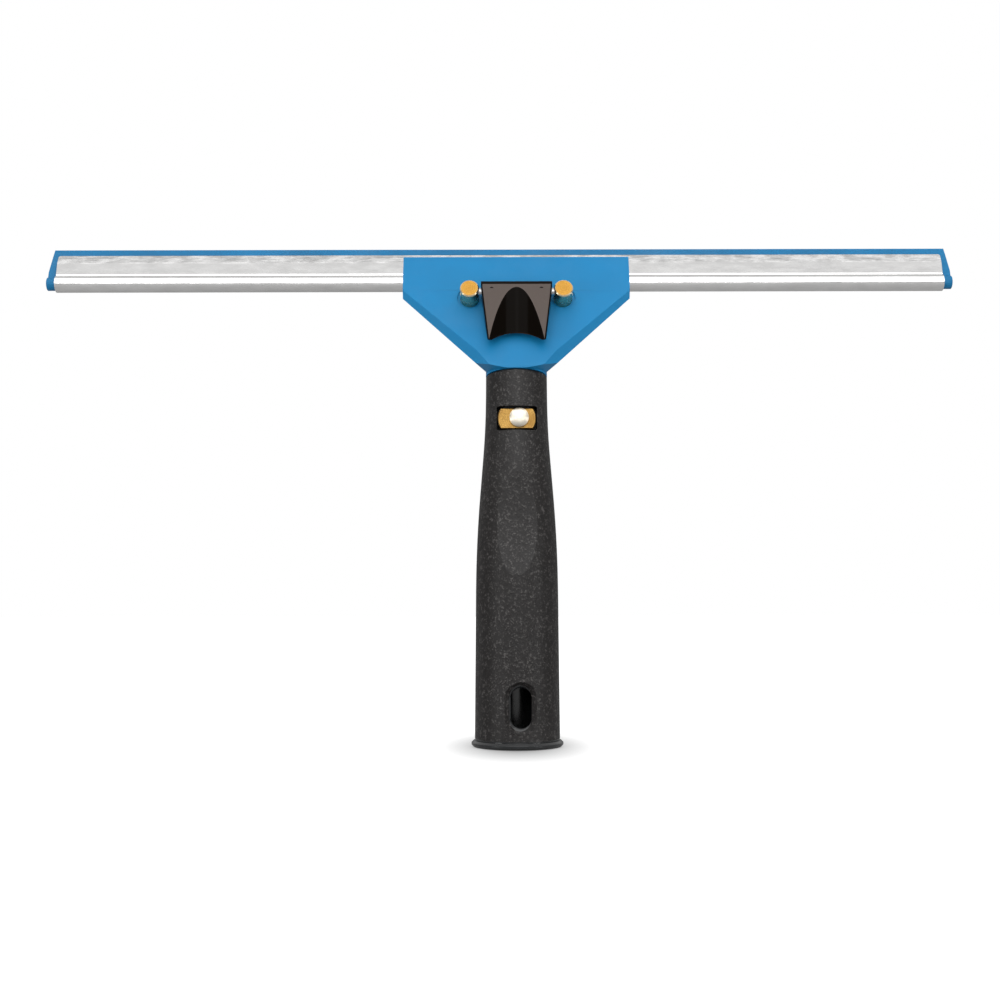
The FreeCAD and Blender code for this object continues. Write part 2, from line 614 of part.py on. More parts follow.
def make_grip():
    outer, low, top = grip_profile()
    inner = [(SPIGOT_R, top[1]), (SPIGOT_R, CORE_TOP_Z), (core_radius(CORE_TOP_Z), CORE_TOP_Z),
             (core_radius(SOCKET_DEPTH), SOCKET_DEPTH), (core_radius(0), low[1])]
    lines = Part.makePolygon([Vector(top[0], 0, top[1])] + [Vector(r, 0, z) for r, z in inner]
                             + [Vector(low[0], 0, low[1])])
    shell = Part.Face(Part.Wire(outer + lines.Edges)).revolve(Vector(0, 0, 0), Vector(0, 0, 1), 360)
    keep = below_rim()
    shell = shell.common(keep)
    rim = edges_where(shell, lambda e: e.BoundBox.ZMin > RIM_Z - NECK_R * 0.4 and e.BoundBox.XMax > NECK_R - 0.6)
    shell = shell.makeFillet(RIM_ROUND, rim)
    window = block((-WINDOW_HALF_WIDTH, -2 * NECK_R, CATCH_Z - WINDOW_HALF_HEIGHT),
                   (WINDOW_HALF_WIDTH, 0, CATCH_Z + WINDOW_HALF_HEIGHT))
    window = window.makeFillet(0.8, edges_where(window, lambda e: e.BoundBox.YLength > NECK_R))
    span = SCOOP_HIGH_Z - SCOOP_LOW_Z
    low_y = -THUMB_LOW_R
    high_y = -THUMB_HIGH_R
    lean = math.atan2(high_y - low_y, span)
    bow_r = (span / 2) ** 2 / (2 * THUMB_DEPTH)
    centre_y = (low_y + high_y) / 2 - (bow_r - THUMB_DEPTH) * math.cos(lean)
    centre_z = (SCOOP_LOW_Z + SCOOP_HIGH_Z) / 2 + (bow_r - THUMB_DEPTH) * math.sin(lean)
    thumb = Part.makeCylinder(bow_r, 4 * NECK_R, Vector(-2 * NECK_R, centre_y, centre_z), Vector(1, 0, 0))
    straight, flare = slot_cutter()
    return shell.cut([window, thumb, straight, flare])


def make_core():
    """Hard socket inside the grip; its flange closes the handle's lower end."""
    edge = 0.8
    outer = [(SOCKET_R, 0), (FLANGE_R - edge, 0), (FLANGE_R, edge), (FLANGE_R, FLANGE_T - edge),
             (FLANGE_R - edge, FLANGE_T), (GROOVE_R, FLANGE_T), (GROOVE_R, FLANGE_T + GROOVE_T),
             (core_radius(0), FLANGE_T + GROOVE_T), (core_radius(SOCKET_DEPTH), SOCKET_DEPTH),
             (core_radius(CORE_TOP_Z), CORE_TOP_Z), (SOCKET_END_R, CORE_TOP_Z), (SOCKET_R, SOCKET_DEPTH)]
    core = turned(outer)
    straight, flare = slot_cutter()
    return core.cut([straight, flare])


# ---- head catch ----
def make_catch_pad():
    disc = Part.makeCylinder(PAD_R, PAD_T, Vector(0, PAD_FACE_Y, CATCH_Z), Vector(0, 1, 0))
    flats = block((-PAD_R, PAD_FACE_Y, CATCH_Z - PAD_HALF_HEIGHT),
                  (PAD_R, PAD_FACE_Y + PAD_T, CATCH_Z + PAD_HALF_HEIGHT))
    pad = disc.common(flats)
    front = edges_where(pad, lambda e: e.BoundBox.YMax < PAD_FACE_Y + 0.01)
    pad = pad.makeChamfer(0.35, front)
    hole = Part.makeCylinder(SCREW_R, PAD_T + 2, Vector(BUTTON_X, PAD_FACE_Y - 1, CATCH_Z + BUTTON_RAISE),
                             Vector(0, 1, 0))
    return pad.cut(hole)


def make_catch_button():
    """Domed screw head with its shank through the pad into the plunger."""
    dome_r = (BUTTON_R ** 2 + BUTTON_DOME ** 2) / (2 * BUTTON_DOME)
    front_y = PAD_FACE_Y - BUTTON_RISE
    centre = Vector(BUTTON_X, front_y + dome_r, CATCH_Z + BUTTON_RAISE)
    ball = Part.makeSphere(dome_r, centre)
    front = Part.makeCylinder(BUTTON_R, BUTTON_RISE, Vector(centre.x, front_y, centre.z), Vector(0, 1, 0))
    shank = Part.makeCylinder(SCREW_R, PAD_T + PLUNGER_T, Vector(centre.x, PAD_FACE_Y - 0.2, centre.z),
                              Vector(0, 1, 0))
    return ball.common(front).fuse(shank).removeSplitter()


def plunger_front():
    return -math.sqrt(SPIGOT_BORE_R ** 2 - PLUNGER_HALF_WIDTH ** 2) + CATCH_GAP


def make_catch_plunger():
    """Wider than the window, so it keeps the catch in; its boss meets the pad."""
    front = plunger_front()
    body = block((-PLUNGER_HALF_WIDTH, front, CATCH_Z - PLUNGER_HALF_HEIGHT),
                 (PLUNGER_HALF_WIDTH, front + PLUNGER_T, CATCH_Z + PLUNGER_HALF_HEIGHT))
    boss = block((-PLUNGER_HALF_WIDTH, PAD_FACE_Y + PAD_T, CATCH_Z - PAD_HALF_HEIGHT),
                 (PLUNGER_HALF_WIDTH, front, CATCH_Z + PAD_HALF_HEIGHT))
    seat = Part.makeCylinder(CATCH_SPRING_R + CATCH_WIRE, 0.8, Vector(0, front + PLUNGER_T - 0.8, CATCH_Z),
                             Vector(0, 1, 0))
    hole = Part.makeCylinder(SCREW_R, PLUNGER_T + PAD_T, Vector(BUTTON_X, PAD_FACE_Y - 0.2, CATCH_Z + BUTTON_RAISE),
                             Vector(0, 1, 0))
    return body.fuse(boss).cut([seat, hole]).removeSplitter()


def make_catch_spring():
    start = plunger_front() + PLUNGER_T - 0.8
    length = math.sqrt(SPIGOT_BORE_R ** 2 - (CATCH_SPRING_R + CATCH_WIRE) ** 2) - start
    place = FreeCAD.Placement(Vector(0, start, CATCH_Z), FreeCAD.Rotation(Vector(1, 0, 0), -90))
    return coil(CATCH_SPRING_R, CATCH_WIRE / 2, length, 5, place)


def build():
    parts = {
        "grip": make_grip(),
        "handle_core": make_core(),
        "head_body": make_head_body(),
        "rear_jaw": make_rear_jaw(),
        "channel": make_channel(),
        "rubber_blade": make_rubber(),
        "lever_pin": make_lever_pin(),
        "release_lever": make_lever(),
        "catch_pad": make_catch_pad(),
        "catch_button": make_catch_button(),
        "catch_plunger": make_catch_plunger(),
        "catch_spring": make_catch_spring(),
    }
    for side in (-1, 1):
        x = side * POST_X
        parts[mirrored_name("clamp_post", side)] = make_post(x)
        parts[mirrored_name("post_washer", side)] = make_washer(x)
        parts[mirrored_name("post_nut", side)] = make_nut(x)
        parts[mirrored_name("jaw_spring", side)] = make_jaw_spring(x)
    return parts


for name, shape in build().items():
    print(name, shape.ShapeType, len(shape.Solids), shape.isValid(), round(shape.Volume, 2))
    shape.exportStep("parts/" + name + ".step")
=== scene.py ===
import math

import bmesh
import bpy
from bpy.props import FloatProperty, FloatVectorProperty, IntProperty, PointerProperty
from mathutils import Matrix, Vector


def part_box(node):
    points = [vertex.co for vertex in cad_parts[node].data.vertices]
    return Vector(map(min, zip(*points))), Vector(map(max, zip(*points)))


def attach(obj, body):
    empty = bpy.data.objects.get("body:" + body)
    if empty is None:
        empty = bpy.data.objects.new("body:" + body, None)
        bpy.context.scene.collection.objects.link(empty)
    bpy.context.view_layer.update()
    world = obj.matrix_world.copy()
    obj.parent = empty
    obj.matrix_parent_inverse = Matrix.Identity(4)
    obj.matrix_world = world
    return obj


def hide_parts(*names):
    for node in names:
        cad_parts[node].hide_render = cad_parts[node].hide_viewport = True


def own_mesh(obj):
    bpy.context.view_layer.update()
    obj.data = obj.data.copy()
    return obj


bl_info = {
    "name": "Window Squeegee",
    "version": (1, 0, 0),
    "blender": (4, 5, 0),
    "location": "View3D > Sidebar > Squeegee",
    "description": "Builds the looks of a window-cleaning squeegee around its fixed frame",
    "category": "Object",
}

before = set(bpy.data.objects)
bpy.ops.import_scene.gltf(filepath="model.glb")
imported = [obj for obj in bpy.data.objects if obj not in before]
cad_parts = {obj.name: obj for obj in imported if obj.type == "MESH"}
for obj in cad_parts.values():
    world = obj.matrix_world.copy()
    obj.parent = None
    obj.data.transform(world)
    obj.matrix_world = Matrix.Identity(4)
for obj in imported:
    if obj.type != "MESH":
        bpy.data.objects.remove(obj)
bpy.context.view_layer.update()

MM = 0.001
HEAD_TILT = math.radians(18.0)
SIDES = ("left", "right")
BEAD_CENTRE = (0.0, 4.3 * MM, 183.6 * MM)
POST_UP = -10.0 * MM             # up the head from the bead to the posts
WALL_FOOT = 3.3 * MM             # up the head: the channel's straight wall, and where it leans in
WALL_HEAD = 8.3 * MM
RIM = 143.0 * MM                 # lowest point of the grip's leaning rim; below it the spigot is painted black as painted shade
POST_RADIUS = 3.7 * MM
RIDGE_BAND = 0.1 * MM            # how near the wall's head an edge lies to count as its ridge
# bright brass of worn edges and of the painted highlight at a post's rim
BRASS_WEAR_AND_RIM_HIGHLIGHT = (0.92, 0.80, 0.56, 1.0)
# pale colour of the painted glints on moulded grain, a painted highlight
PAINTED_GLINT = (0.34, 0.32, 0.31, 1.0)
RUBBER_BLOOM = (0.30, 0.46, 0.62, 1.0)
PLATED_EDGE = (0.85, 0.85, 0.86, 1.0)
LEVER_FALL = math.radians(8.6)
FACE_ALIGNED = 0.999             # how squarely a polygon must look out to be part of the lever's flat face
FACE_AREA = 2.0e-6               # square metres
MERGE_DISTANCE = 0.002 * MM
FLAT_ANGLE = math.radians(0.05)
SHADOW_NEAR = 0.0185             # the floor's painted soft shadow fades between these distances from the handle
SHADOW_FAR = 0.075
FLOOR_HALF = 4.0
FLOOR_DROP = 0.0002
HEAD_AIM = (0.0, 0.0, 0.16)      # where every panel points
CAMERA_SIDE = -0.0067
CAMERA_HEIGHT = 0.0572
CAMERA_RISE = math.radians(4.0)
CAMERA_ROLL = math.radians(0.12)
FILM_WIDTH = 36.0


# ---------------------------------------------------------------- places read from the frame
def middle(node):
    """The middle of a node's box."""
    low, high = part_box(node)
    return (Vector(low) + Vector(high)) / 2


def head_turn():
    """Turns the head's own axes into the frame's: Y runs up the head, Z out of its front."""
    return Matrix.Rotation(math.pi / 2 - HEAD_TILT, 4, "X")


def post_foot(side):
    """A point on a clamp post's axis."""
    low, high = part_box("clamp_post_" + side)
    across = (low[0] + high[0]) / 2
    return Vector(BEAD_CENTRE) + head_turn().to_3x3() @ Vector((0, POST_UP, 0)) + Vector((across, 0, 0))


def face_direction():
    """Out of the closed lever's flat face, which falls a little towards its free end."""
    tilt = HEAD_TILT - LEVER_FALL
    return Vector((0, -math.cos(tilt), math.sin(tilt)))


def colour(name, text, default):
    """A colour that the user may change."""
    return FloatVectorProperty(name=name, description=text, default=default, size=3, min=0.0, max=1.0,
                               subtype="COLOR")


class SqueegeeFinish(bpy.types.PropertyGroup):
    """Colours and edge sizes of the squeegee's pieces."""

    blade_blue: colour("Blade", "Blue of the rubber blade", (0.008, 0.180, 0.400))
    head_blue: colour("Head", "Blue of the moulded head", (0.007, 0.222, 0.490))
    grip_black: colour("Grip", "Black of the textured grip", (0.008, 0.0064, 0.006))
    core_black: colour("Core", "Black of the glossy socket", (0.008, 0.009, 0.010))
    lever_black: colour("Lever", "Black of the release lever", (0.004, 0.0028, 0.002))
    # The lever's flat face is painted warm grey, a painted reflection on its glossy black.
    lever_face_reflection: colour("Lever face painted reflection", "Warm grey painted on the lever's flat face as its reflection", (0.090, 0.067, 0.056))
    steel: colour("Channel", "Tint of the polished channel", (0.74, 0.735, 0.73))
    plated: colour("Plated steel", "Tint of pins, washers and nuts", (0.60, 0.60, 0.61))
    brass: colour("Brass", "Tint of the turned posts", (0.52, 0.28, 0.055))
    # The pad's brass is a darker copy of the posts' brass, painted shade of its recessed window.
    catch_brass: colour("Catch brass", "Tint of the catch's pad, darkened as painted shade", (0.40, 0.235, 0.065))
    # The button's brass is lightened to near white, a painted reflection.
    button_brass_reflection: colour("Button brass reflection", "Tint of the button, lightened as a painted reflection", (0.98, 0.90, 0.74))
    edge_round: FloatProperty(name="Edge rounding", description="Rounding of moulded edges",
                              default=0.35 * MM, min=0.0, unit="LENGTH")
    metal_round: FloatProperty(name="Metal edge rounding", description="Rounding of machined edges",
                               default=0.15 * MM, min=0.0, unit="LENGTH")
    steps: IntProperty(name="Rounding steps", description="Facets across a rounded edge", default=3, min=1,
                       max=6)


class SqueegeeStage(bpy.types.PropertyGroup):
    """The floor, the lights and the camera."""

    high_power: FloatProperty(name="High panel", description="Power of the panel above the front",
                              default=2.6, min=0.0, unit="POWER")
    low_power: FloatProperty(name="Low panel", description="Power of the panel in front", default=3.6,
                             min=0.0, unit="POWER")
    strip_power: FloatProperty(name="Strip", description="Power of the narrow strip behind the camera",
                               default=0.26, min=0.0, unit="POWER")
    side_power: FloatProperty(name="Side panels", description="Power of each low panel at a side",
                              default=0.95, min=0.0, unit="POWER")
    sky: FloatProperty(name="Sky", description="Strength of the soft surrounding light", default=0.62,
                       min=0.0)
    camera_distance: FloatProperty(name="Camera distance", description="From the handle's axis to the camera",
                                   default=0.5558, min=0.1, unit="LENGTH")
    lens: FloatProperty(name="Lens", description="Focal length of the camera", default=50.87, min=10.0,
                        unit="CAMERA")


def finish():
    """The colours and edge sizes that are set in the panel."""
    return bpy.context.scene.squeegee_finish


# ---------------------------------------------------------------- shader node helpers
class Graph:
    """Short calls for building one node tree."""

    def __init__(self, tree):
        self.tree = tree

    def node(self, kind, **settings):
        made = self.tree.nodes.new(kind)
        for key, value in settings.items():
            setattr(made, key, value)
        return made

    def link(self, source, target):
        self.tree.links.new(source, target)

    def feed(self, target, value):
        """Link a socket, or set a plain value."""
        if isinstance(value, bpy.types.NodeSocket):
            self.link(value, target)
        else:
            target.default_value = value

    def math(self, operation, first, second=0.0, clamp=False):
        made = self.node("ShaderNodeMath", operation=operation, use_clamp=clamp)
        self.feed(made.inputs[0], first)
        self.feed(made.inputs[1], second)
        return made.outputs[0]

    def noise(self, vector, scale, detail=3.0, roughness=0.5):
        made = self.node("ShaderNodeTexNoise")
        self.feed(made.inputs["Vector"], vector)
        self.feed(made.inputs["Scale"], scale)
        made.inputs["Detail"].default_value = detail
        made.inputs["Roughness"].default_value = roughness
        return made.outputs["Fac"]

    def span(self, value, low, high, to_low, to_high):
        made = self.node("ShaderNodeMapRange")
        self.feed(made.inputs["Value"], value)
        for key, number in (("From Min", low), ("From Max", high), ("To Min", to_low), ("To Max", to_high)):
            self.feed(made.inputs[key], number)
        return made.outputs["Result"]

    def mix(self, amount, first, second):
        made = self.node("ShaderNodeMix", data_type="RGBA")
        self.feed(made.inputs["Factor"], amount)
        self.feed(made.inputs["A"], first)
        self.feed(made.inputs["B"], second)
        return made.outputs["Result"]

    def place(self, offset=(0, 0, 0), turn=(0, 0, 0), scale=(1, 1, 1)):
        """Object coordinates, moved, turned and stretched."""
        where = self.node("ShaderNodeTexCoord")
        made = self.node("ShaderNodeMapping", vector_type="TEXTURE")
        self.link(where.outputs["Object"], made.inputs["Vector"])
        made.inputs["Location"].default_value = offset
        made.inputs["Rotation"].default_value = turn
        made.inputs["Scale"].default_value = scale
        return made.outputs["Vector"]


def new_group(name, inputs, outputs):
    """A shader node group with named sockets; returns it with its graph, inputs and outputs."""
    tree = bpy.data.node_groups.new(name, "ShaderNodeTree")
    for label, kind, default in inputs:
        socket = tree.interface.new_socket(label, in_out="INPUT", socket_type=kind)
        if default is not None:
            socket.default_value = default
    for label, kind in outputs:
        tree.interface.new_socket(label, in_out="OUTPUT", socket_type=kind)
    graph = Graph(tree)
    return tree, graph, graph.node("NodeGroupInput").outputs, graph.node("NodeGroupOutput").inputs


def use_group(graph, tree, **values):
    made = graph.node("ShaderNodeGroup", node_tree=tree)
    for key, value in values.items():
        graph.feed(made.inputs[key.replace("_", " ")], value)
    return made.outputs


def moulded_grain():
    """Fine spark texture of a mould: a height and a slow drift in gloss."""
    name = "Moulded grain"
    if name in bpy.data.node_groups:
        return bpy.data.node_groups[name]
    tree, g, inp, out = new_group(
        name,
        [("Vector", "NodeSocketVector", None), ("Grain Scale", "NodeSocketFloat", 1500.0),
         ("Drift Scale", "NodeSocketFloat", 60.0)],
        [("Height", "NodeSocketFloat"), ("Drift", "NodeSocketFloat")])
    fine = g.noise(inp["Vector"], inp["Grain Scale"], 2.0, 0.6)
    coarse = g.noise(inp["Vector"], g.math("MULTIPLY", inp["Grain Scale"], 0.45), 2.0, 0.5)
    height = g.math("ADD", g.math("MULTIPLY", fine, 0.6), g.math("MULTIPLY", coarse, 0.4))
    g.link(height, out["Height"])
    g.link(g.noise(inp["Vector"], inp["Drift Scale"], 3.0), out["Drift"])
    return tree


def edge_wear_and_highlight():
    """Mask of convex edges, broken up by noise, for rubbed and polished corners and for painted edge
    highlights.
    """
    name = "Edge wear"
    if name in bpy.data.node_groups:
        return bpy.data.node_groups[name]
    tree, g, inp, out = new_group(
        name,
        [("Vector", "NodeSocketVector", None), ("Radius", "NodeSocketFloat", 0.4 * MM),
         ("Break Up", "NodeSocketFloat", 500.0)],
        [("Mask", "NodeSocketFloat")])
    rounded = g.node("ShaderNodeBevel", samples=6)
    g.link(inp["Radius"], rounded.inputs["Radius"])
    plain = g.node("ShaderNodeNewGeometry")
    turn = g.node("ShaderNodeVectorMath", operation="DOT_PRODUCT")
    g.link(rounded.outputs["Normal"], turn.inputs[0])
    g.link(plain.outputs["Normal"], turn.inputs[1])
    edge = g.span(turn.outputs["Value"], 0.995, 0.90, 0.0, 1.0)
    patchy = g.span(g.noise(inp["Vector"], inp["Break Up"], 3.0), 0.35, 0.65, 0.15, 1.0)
    g.link(g.math("MULTIPLY", edge, patchy, clamp=True), out["Mask"])
    return tree


def handled_dust():
    """Faint pale smears and specks, as on a used tool."""
    name = "Handled dust"
    if name in bpy.data.node_groups:
        return bpy.data.node_groups[name]
    tree, g, inp, out = new_group(
        name, [("Vector", "NodeSocketVector", None), ("Amount", "NodeSocketFloat", 0.1)],
        [("Mask", "NodeSocketFloat")])
    smear = g.span(g.noise(inp["Vector"], 45.0, 5.0, 0.65), 0.50, 0.72, 0.0, 1.0)
    speck = g.span(g.noise(inp["Vector"], 900.0, 1.0), 0.70, 0.78, 0.0, 1.0)
    both = g.math("ADD", g.math("MULTIPLY", smear, 0.7), g.math("MULTIPLY", speck, 0.6))
    g.link(g.math("MULTIPLY", both, inp["Amount"], clamp=True), out["Mask"])
    return tree


def turned_rings():
    """Concentric tool marks about the local Z axis, as a height and a gloss band."""
    name = "Turned rings"
    if name in bpy.data.node_groups:
        return bpy.data.node_groups[name]
    tree, g, inp, out = new_group(
        name, [("Vector", "NodeSocketVector", None), ("Pitch", "NodeSocketFloat", 0.12 * MM)],
        [("Height", "NodeSocketFloat"), ("Band", "NodeSocketFloat"), ("Radius", "NodeSocketFloat")])
    apart = g.node("ShaderNodeSeparateXYZ")
    g.link(inp["Vector"], apart.inputs[0])
    flat = g.math("ADD", g.math("POWER", apart.outputs["X"], 2.0), g.math("POWER", apart.outputs["Y"], 2.0))
    radius = g.math("SQRT", flat)
    g.link(radius, out["Radius"])
    along = g.math("ADD", radius, apart.outputs["Z"])
    turns = g.math("DIVIDE", g.math("MULTIPLY", along, 2 * math.pi), inp["Pitch"])
    g.link(g.math("SINE", turns), out["Height"])
    slow = g.math("SINE", g.math("DIVIDE", turns, 7.3))
    g.link(slow, out["Band"])
    return tree


def new_material(name, metallic=0.0):
    """A named material with its Principled shader and graph."""
    made = bpy.data.materials.new(name)
    made.use_nodes = True
    graph = Graph(made.node_tree)
    shader = made.node_tree.nodes["Principled BSDF"]
    shader.inputs["Metallic"].default_value = metallic
    return made, graph, shader


def bump(graph, shader, height, depth):
    made = graph.node("ShaderNodeBump")
    made.inputs["Strength"].default_value = 1.0
    made.inputs["Distance"].default_value = depth
    graph.feed(made.inputs["Height"], height)
    graph.link(made.outputs["Normal"], shader.inputs["Normal"])


def rgba(value, gain=1.0):
    return (min(value[0] * gain, 1.0), min(value[1] * gain, 1.0), min(value[2] * gain, 1.0), 1.0)


def moulded_plastic(name, base, gloss, grain_scale, grain_depth, wear, dust, edge_gain=1.6, shine=0.5,
                    painted_glints=0.0):
    """Moulded plastic: spark grain with painted pale glints, drifting gloss, edges painted lighter as rubbed
    wear and as a painted edge highlight, and a little dust.
    """
    made, g, shader = new_material(name)
    shader.inputs["Specular IOR Level"].default_value = shine
    where = g.place()
    grain = use_group(g, moulded_grain(), Vector=where, Grain_Scale=grain_scale)
    edge_mask = use_group(g, edge_wear_and_highlight(), Vector=where)["Mask"]
    dusty = use_group(g, handled_dust(), Vector=where, Amount=dust)["Mask"]
    drift = g.mix(grain["Drift"], rgba(base, 0.90), rgba(base, 1.10))
    edged = g.mix(g.math("MULTIPLY", edge_mask, wear), drift, rgba(base, edge_gain))
    # Painted highlight: pale glints painted into the colour where the grain stands high.
    glint = g.math("MULTIPLY", g.span(grain["Height"], 0.52, 0.64, 0.0, 1.0), painted_glints)
    edged = g.mix(glint, edged, PAINTED_GLINT)
    pale = tuple(0.25 + 0.5 * channel for channel in base) + (1.0,)
    g.link(g.mix(dusty, edged, pale), shader.inputs["Base Color"])
    rough = g.math("ADD", g.span(grain["Drift"], 0.3, 0.7, gloss - 0.04, gloss + 0.05),
                   g.math("MULTIPLY", dusty, 0.25))
    g.link(g.math("SUBTRACT", rough, g.math("MULTIPLY", edge_mask, 0.10), clamp=True), shader.inputs["Roughness"])
    bump(g, shader, grain["Height"], grain_depth)
    return made


def blade_material():
    """Smooth natural rubber, a little waxy, with faint drag lines along its length."""
    base = finish().blade_blue
    made, g, shader = new_material("Blade rubber")
    where = g.place()
    along = g.place(scale=(40.0, 1.0, 1.0))
    lines = g.noise(along, 1800.0, 2.0)
    cloud = g.noise(where, 35.0, 4.0)
    tint = g.mix(g.span(cloud, 0.35, 0.65, 0.0, 1.0), rgba(base, 0.84), rgba(base, 1.06))
    dusty = use_group(g, handled_dust(), Vector=where, Amount=0.10)["Mask"]
    g.link(g.mix(dusty, tint, RUBBER_BLOOM), shader.inputs["Base Color"])
    g.link(g.span(cloud, 0.3, 0.7, 0.42, 0.55), shader.inputs["Roughness"])
    shader.inputs["Specular IOR Level"].default_value = 0.3
    bump(g, shader, lines, 0.02 * MM)
    return made


def channel_material():
    """Rolled stainless with fine lines along it, one steel painted in three bands: a lighter bead as a
    painted highlight, a darker wall as painted shade and a lip in light and dark patches as a painted mottled
    reflection.
    """
    tint = finish().steel
    made, g, shader = new_material("Channel steel", metallic=1.0)
    along = g.place(scale=(25.0, 1.0, 1.0))
    stretched = g.place(scale=(3.0, 1.0, 1.0))
    lines = g.noise(along, 2600.0, 2.0)
    mottle = g.noise(stretched, 420.0, 4.0, 0.6)
    cloud = g.noise(stretched, 70.0, 3.0)
    up = g.node("ShaderNodeSeparateXYZ")
    g.link(g.place(offset=BEAD_CENTRE, turn=head_turn().to_euler()), up.inputs[0])
    height = up.outputs["Y"]
    wall = g.span(height, WALL_FOOT - 0.2 * MM, WALL_FOOT, 0.0, 1.0)
    lip = g.span(g.math("ADD", height, g.math("MULTIPLY", mottle, 0.6 * MM)), WALL_HEAD, WALL_HEAD + 0.5 * MM,
                 0.0, 1.0)
    shade = g.math("ADD", g.math("MULTIPLY", mottle, 0.6), g.math("MULTIPLY", cloud, 0.4))
    # Painted highlight on the bead, painted shade on the wall and painted mottled reflection on the lip: the
    # same steel tint scaled up, down and in patches.
    polished = g.mix(g.span(shade, 0.35, 0.65, 0.0, 1.0), rgba(tint, 1.12), rgba(tint, 1.30))
    painted_wall_shade = g.mix(g.span(shade, 0.40, 0.60, 0.0, 1.0), rgba(tint, 0.55), rgba(tint, 0.64))
    patchy = g.mix(g.span(mottle, 0.40, 0.60, 0.0, 1.0), rgba(tint, 0.66), rgba(tint, 0.98))
    g.link(g.mix(lip, g.mix(wall, polished, painted_wall_shade), patchy), shader.inputs["Base Color"])
    g.link(g.span(mottle, 0.3, 0.7, 0.10, 0.22), shader.inputs["Roughness"])
    bump(g, shader, g.math("ADD", g.math("MULTIPLY", lines, 0.3), g.math("MULTIPLY", mottle, 0.7)), 0.03 * MM)
    return made


def brass_material(name, centre, turn, tint, gloss=0.20, pitch=0.12 * MM, rim=1.0):
    """Turned brass about an axis: ring marks, warm tarnish in patches, a painted highlight as a bright rim at
    radius rim, and edges painted bright, partly as wear and partly as a painted highlight.

    The default is far outside any piece, so it gives no rim.
    """
    made, g, shader = new_material(name, metallic=1.0)
    where = g.place(offset=centre, turn=turn)
    rings = use_group(g, turned_rings(), Vector=where, Pitch=pitch)
    edge_mask = use_group(g, edge_wear_and_highlight(), Vector=where, Radius=0.3 * MM)["Mask"]
    tarnish = g.span(g.noise(where, 260.0, 4.0), 0.40, 0.70, 0.0, 0.55)
    warm = g.mix(tarnish, rgba(tint), (0.70 * tint[0], 0.58 * tint[1], 0.50 * tint[2], 1.0))
    banded = g.mix(g.span(rings["Band"], -1.0, 1.0, 0.0, 0.25), warm, rgba(tint, 1.35))
    # Painted highlight: a bright ring at radius rim stands in for the light a chamfer catches; edges get the
    # same bright brass, partly wear, partly painted highlight.
    edged = g.mix(g.span(rings["Radius"], rim - 0.5 * MM, rim - 0.2 * MM, 0.0, 0.85), banded, BRASS_WEAR_AND_RIM_HIGHLIGHT)
    g.link(g.mix(edge_mask, edged, BRASS_WEAR_AND_RIM_HIGHLIGHT), shader.inputs["Base Color"])
    g.link(g.span(tarnish, 0.0, 0.55, gloss, gloss + 0.14), shader.inputs["Roughness"])
    bump(g, shader, rings["Height"], 0.006 * MM)
    return made


def plated_material():
    """Zinc-plated steel with a fine grey bloom."""
    tint = finish().plated
    made, g, shader = new_material("Plated steel", metallic=1.0)
    where = g.place()
    bloom = g.noise(where, 900.0, 4.0)
    edge_mask = use_group(g, edge_wear_and_highlight(), Vector=where, Radius=0.25 * MM)["Mask"]
    base = g.mix(bloom, rgba(tint, 0.85), rgba(tint, 1.15))
    g.link(g.mix(edge_mask, base, PLATED_EDGE), shader.inputs["Base Color"])
    g.link(g.span(bloom, 0.3, 0.7, 0.24, 0.40), shader.inputs["Roughness"])
    bump(g, shader, bloom, 0.01 * MM)
    return made


# ---------------------------------------------------------------- pieces
def paint(node, material):
    """Give a CAD node its finish."""
    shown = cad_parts[node]
    shown.data.materials.clear()
    shown.data.materials.append(material)


def add_piece(name, mesh_edit, material, body, node):
    """Make a mesh object from a bmesh, smooth it, and let it stand for a CAD node."""
    mesh = bpy.data.meshes.new(name)
    mesh_edit.to_mesh(mesh)
    mesh_edit.free()
    for face in mesh.polygons:
        face.use_smooth = True
    piece = bpy.data.objects.new(name, mesh)
    bpy.context.scene.collection.objects.link(piece)
    mesh.materials.append(material)
    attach(piece, body)
    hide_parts(node)
    return piece


def softened(node, name, material, body, width, sharp=28.0, crisp=20.0):
    """A node's own shape with its hard edges rounded, as a mould or a tumbler leaves them."""
    edit = bmesh.new()
    edit.from_mesh(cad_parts[node].data)
    bmesh.ops.remove_doubles(edit, verts=edit.verts, dist=MERGE_DISTANCE)
    bmesh.ops.dissolve_limit(edit, angle_limit=FLAT_ANGLE, verts=edit.verts, edges=edit.edges,
                             use_dissolve_boundaries=False, delimit=set())
    hard = [edge for edge in edit.edges
            if len(edge.link_faces) == 2 and edge.calc_face_angle(0.0) > math.radians(sharp)]
    for edge in edit.edges:
        edge.smooth = edge.calc_face_angle(0.0) < math.radians(crisp)
    if width > 0.0:
        rounded = bmesh.ops.bevel(edit, geom=hard, offset=width, offset_type="OFFSET",
                                  segments=finish().steps, profile=0.5, affect="EDGES", material=-1,
                                  clamp_overlap=True)
        for face in rounded["faces"]:
            for edge in face.edges:
                edge.smooth = True
    bmesh.ops.recalc_face_normals(edit, faces=edit.faces)
    piece = add_piece(name, edit, material, body, node)
    weighted = piece.modifiers.new("Even shading", "WEIGHTED_NORMAL")
    weighted.keep_sharp = True
    weighted.weight = 80
    return piece


class SQUEEGEE_OT_blade(bpy.types.Operator):
    """The rubber blade"""

    bl_idname = "squeegee.blade"
    bl_label = "Rubber Blade"

    def execute(self, context):
        softened("rubber_blade", "blade", blade_material(), "rubber", finish().metal_round)
        return {"FINISHED"}


